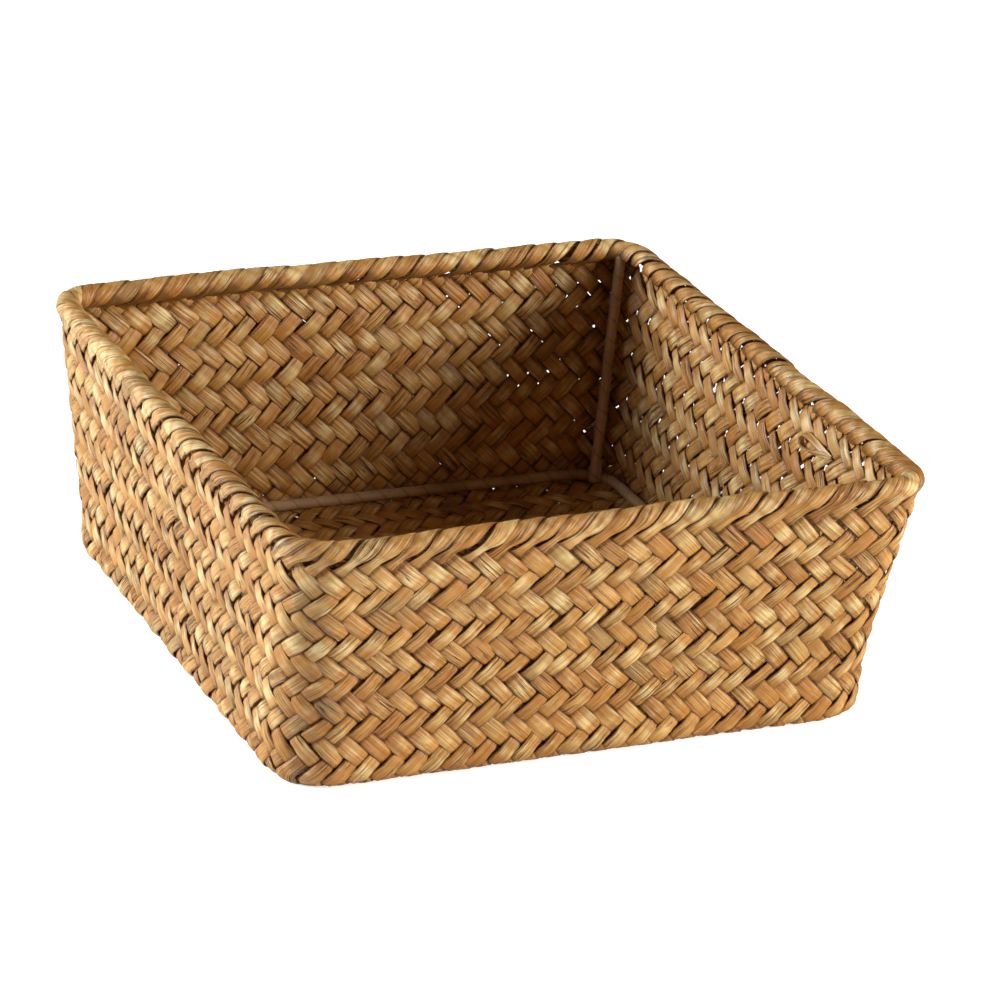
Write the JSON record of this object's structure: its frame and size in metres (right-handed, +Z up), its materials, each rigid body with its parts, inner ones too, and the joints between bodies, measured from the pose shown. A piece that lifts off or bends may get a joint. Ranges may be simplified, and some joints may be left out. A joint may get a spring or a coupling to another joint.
{
  "type": "storage basket",
  "caption": "Shallow open storage basket of twill-plaited flat seagrass strips over a paper-taped wire frame, with flared walls, rounded corners and a rolled rim.",
  "frame": {"origin": "middle of the base, on the surface that the basket stands on", "axes": "+Z up, -Y towards the front wall, +X towards the right wall"},
  "size_m": [0.3, 0.308, 0.12],
  "materials": {
    "seagrass_wall": "dry flat seagrass strips, golden straw to orange brown, fibrous, soft satin sheen",
    "seagrass_base": "dry flat seagrass strips, a little browner than the walls",
    "seagrass_rim": "seagrass strips rolled over the top ring, paler and more polished than the walls",
    "steel_wire": "plain drawn mild steel wire",
    "paper_tape": "matte grey brown paper tape wound in a spiral"
  },
  "bodies": {
    "root": {"top_ring_wire": "steel_wire", "bottom_ring_wire": "steel_wire", "post_wire_front_left": "steel_wire", "post_wire_front_right": "steel_wire", "post_wire_back_right": "steel_wire", "post_wire_back_left": "steel_wire", "top_ring_tape": "paper_tape", "bottom_ring_tape": "paper_tape", "post_tape_front_left": "paper_tape", "post_tape_front_right": "paper_tape", "post_tape_back_right": "paper_tape", "post_tape_back_left": "paper_tape", "plaited_base": "seagrass_base", "plaited_wall_front": "seagrass_wall", "plaited_wall_right": "seagrass_wall", "plaited_wall_back": "seagrass_wall", "plaited_wall_left": "seagrass_wall", "plaited_corner_front_left": "seagrass_wall", "plaited_corner_front_right": "seagrass_wall", "plaited_corner_back_right": "seagrass_wall", "plaited_corner_back_left": "seagrass_wall", "rim_roll_front": "seagrass_rim", "rim_roll_right": "seagrass_rim", "rim_roll_back": "seagrass_rim", "rim_roll_left": "seagrass_rim", "rim_corner_front_left": "seagrass_rim", "rim_corner_front_right": "seagrass_rim", "rim_corner_back_right": "seagrass_rim", "rim_corner_back_left": "seagrass_rim", "strip_loop": "seagrass_rim"}
  },
  "joints": []
}
